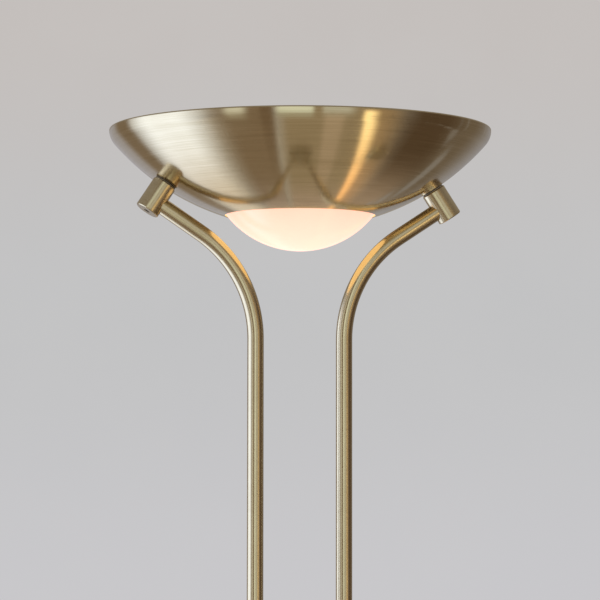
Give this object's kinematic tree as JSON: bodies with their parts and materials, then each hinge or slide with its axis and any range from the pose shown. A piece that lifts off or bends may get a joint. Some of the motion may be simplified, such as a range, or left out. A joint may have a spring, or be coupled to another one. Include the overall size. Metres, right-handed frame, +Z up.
{
  "type": "torchiere floor lamp with reading light",
  "caption": "Tall floor lamp: dished brass uplighter with an opal glass centre on parallel flared stems, with dimmers and a jointed reading light.",
  "frame": {"origin": "centre of the base on the floor", "axes": "+Z up the stems, the stems stand side by side along X, the dimmer knobs face -Y"},
  "size_m": [0.5096, 0.295, 1.8],
  "materials": {
    "antique_brass": "brushed antique brass, satin lacquer",
    "plated_steel": "zinc plated",
    "cast_weight": "as cast, painted black",
    "foot_foam": "closed cell foam",
    "black_nylon": "moulded nylon",
    "white_plastic": "moulded",
    "lead_sleeve": "silicone sleeved, woven glass",
    "circuit_board": "lacquered laminate",
    "white_ceramic": "unglazed steatite",
    "opal_glass": "opal, satin etched, lit from above",
    "lamp_glass": "quartz, lit"
  },
  "bodies": {
    "stand": {"bar_grub_screws": "plated_steel", "base_cover": "antique_brass", "base_pad": "foot_foam", "base_weight": "cast_weight", "cord_grommet": "black_nylon", "dimmer_board": "circuit_board", "dimmer_bush_nuts": "plated_steel", "dimmer_case_screws": "plated_steel", "dimmer_front_case": "antique_brass", "dimmer_pots": "black_nylon", "dimmer_rear_case": "antique_brass", "glass_springs": "plated_steel", "lamp_bracket": "plated_steel", "lamp_leads": "lead_sleeve", "lampholders": "white_ceramic", "left_bowl_mount": "antique_brass", "linear_lamp": "lamp_glass", "lower_stem_left": "antique_brass", "lower_stem_right": "antique_brass", "middle_stem_left": "antique_brass", "middle_stem_right": "antique_brass", "mount_grub_screws": "plated_steel", "mount_nipples": "plated_steel", "mount_nuts": "plated_steel", "mount_spacers": "black_nylon", "mount_washers": "plated_steel", "reader_bridge": "antique_brass", "right_bowl_mount": "antique_brass", "stem_collars": "antique_brass", "stem_foot_nuts": "plated_steel", "stem_foot_studs": "plated_steel", "stem_foot_washers": "plated_steel", "stem_joiners": "plated_steel", "stem_spacer": "antique_brass", "supply_lead": "lead_sleeve", "swivel_washers": "black_nylon", "terminal_blocks": "white_plastic", "uplighter_bowl": "antique_brass", "uplighter_glass": "opal_glass", "upper_stem_left": "antique_brass", "upper_stem_right": "antique_brass"},
    "swivel": {"swivel_post": "antique_brass", "swivel_nut": "plated_steel", "arm_pivot_pin": "antique_brass"},
    "arm": {"arm_root_eye": "antique_brass", "reader_arm": "antique_brass", "arm_tip_fork": "antique_brass", "head_pivot_pin": "antique_brass"},
    "head": {"head_eye": "antique_brass", "head_cup": "antique_brass", "reader_lampholder": "white_ceramic", "reader_lamp": "lamp_glass", "reader_shade": "antique_brass", "reader_diffuser": "opal_glass", "diffuser_ring": "antique_brass"},
    "left_knob": {"left_dimmer_spindle": "plated_steel", "left_dimmer_knob": "antique_brass"},
    "right_knob": {"right_dimmer_spindle": "plated_steel", "right_dimmer_knob": "antique_brass"}
  },
  "joints": [
    {"name": "arm_swing", "type": "hinge", "parent": "stand", "child": "swivel", "pos_m": [0, -0.026, 1.18], "axis": [0, 0, 1], "range_deg": [-190, 10]},
    {"name": "arm_tilt", "type": "hinge", "parent": "swivel", "child": "arm", "pos_m": [0, -0.026, 1.2092], "axis": [0, -1, 0], "range_deg": [-50, 30]},
    {"name": "head_tilt", "type": "hinge", "parent": "arm", "child": "head", "pos_m": [0.3101, -0.026, 1.32207], "axis": [0, -1, 0], "range_deg": [-15, 100]},
    {"name": "left_knob_turn", "type": "hinge", "parent": "stand", "child": "left_knob", "pos_m": [-0.0145, -0.02, 1.01], "axis": [0, 1, 0], "range_deg": [-135, 135]},
    {"name": "right_knob_turn", "type": "hinge", "parent": "stand", "child": "right_knob", "pos_m": [0.0145, -0.02, 1.01], "axis": [0, 1, 0], "range_deg": [-135, 135]}
  ]
}
